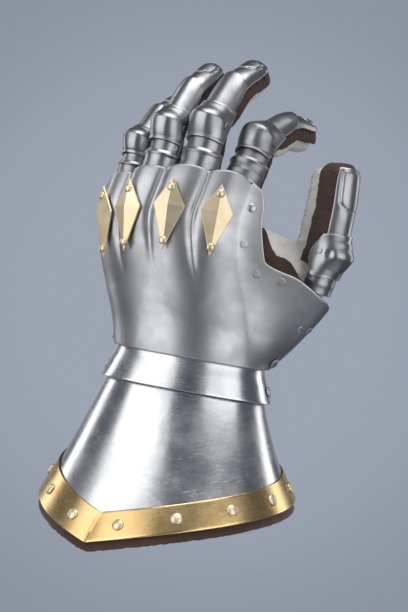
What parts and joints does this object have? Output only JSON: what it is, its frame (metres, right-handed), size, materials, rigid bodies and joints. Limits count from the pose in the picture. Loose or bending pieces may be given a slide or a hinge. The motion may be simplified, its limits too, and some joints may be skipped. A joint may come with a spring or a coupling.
{
  "type": "armoured gauntlet",
  "caption": "Steel gauntlet with a flared brass-edged cuff, a wrist lame, a fluted hand plate with brass gadlings, plated fingers and a leather glove inside.",
  "frame": {"origin": "centre of the forearm opening, level with the middle of the cuff's rim", "axes": "+Z from the forearm to the fingers, -Y out of the back of the hand, +X towards the thumb"},
  "size_m": [0.1483, 0.1435, 0.2865],
  "materials": {
    "steel": "polished satin",
    "brass": "polished",
    "suede": "matt brown suede",
    "brown_leather": "matt brown leather",
    "glove_leather": "matt off-white leather"
  },
  "bodies": {
    "cuff_body": {"cuff": "steel", "cuff_border": "brass", "cuff_lining": "suede"},
    "lame_body": {"wrist_lame": "steel"},
    "hand_body": {"hand_plate": "steel", "opening_leather": "brown_leather", "gadling_little": "brass", "gadling_ring": "brass", "gadling_middle": "brass", "gadling_index": "brass", "little_base_lame": "steel", "little_second_lame": "steel", "little_knuckle_cop": "steel", "little_middle_plate": "steel", "little_tip_plate": "steel", "little_strip": "brown_leather", "ring_base_lame": "steel", "ring_second_lame": "steel", "ring_knuckle_cop": "steel", "ring_middle_plate": "steel", "ring_tip_plate": "steel", "ring_strip": "brown_leather", "middle_base_lame": "steel", "middle_second_lame": "steel", "middle_knuckle_cop": "steel", "middle_middle_plate": "steel", "middle_tip_plate": "steel", "middle_strip": "brown_leather", "index_base_lame": "steel", "index_second_lame": "steel", "index_knuckle_cop": "steel", "index_middle_plate": "steel", "index_tip_plate": "steel", "index_strip": "brown_leather", "thumb_base_lame": "steel", "thumb_knuckle_cop": "steel", "thumb_tip_plate": "steel", "thumb_strip": "brown_leather", "glove": "glove_leather"}
  },
  "joints": [
    {"name": "lame_hinge", "type": "hinge", "parent": "cuff_body", "child": "lame_body", "pos_m": [0, 0, 0.0765], "axis": [0.9397, 0.342, 0], "range_deg": [-5, 5]},
    {"name": "hand_hinge", "type": "hinge", "parent": "lame_body", "child": "hand_body", "pos_m": [0, 0, 0.0935], "axis": [0.9397, 0.342, 0], "range_deg": [-5, 5]}
  ]
}
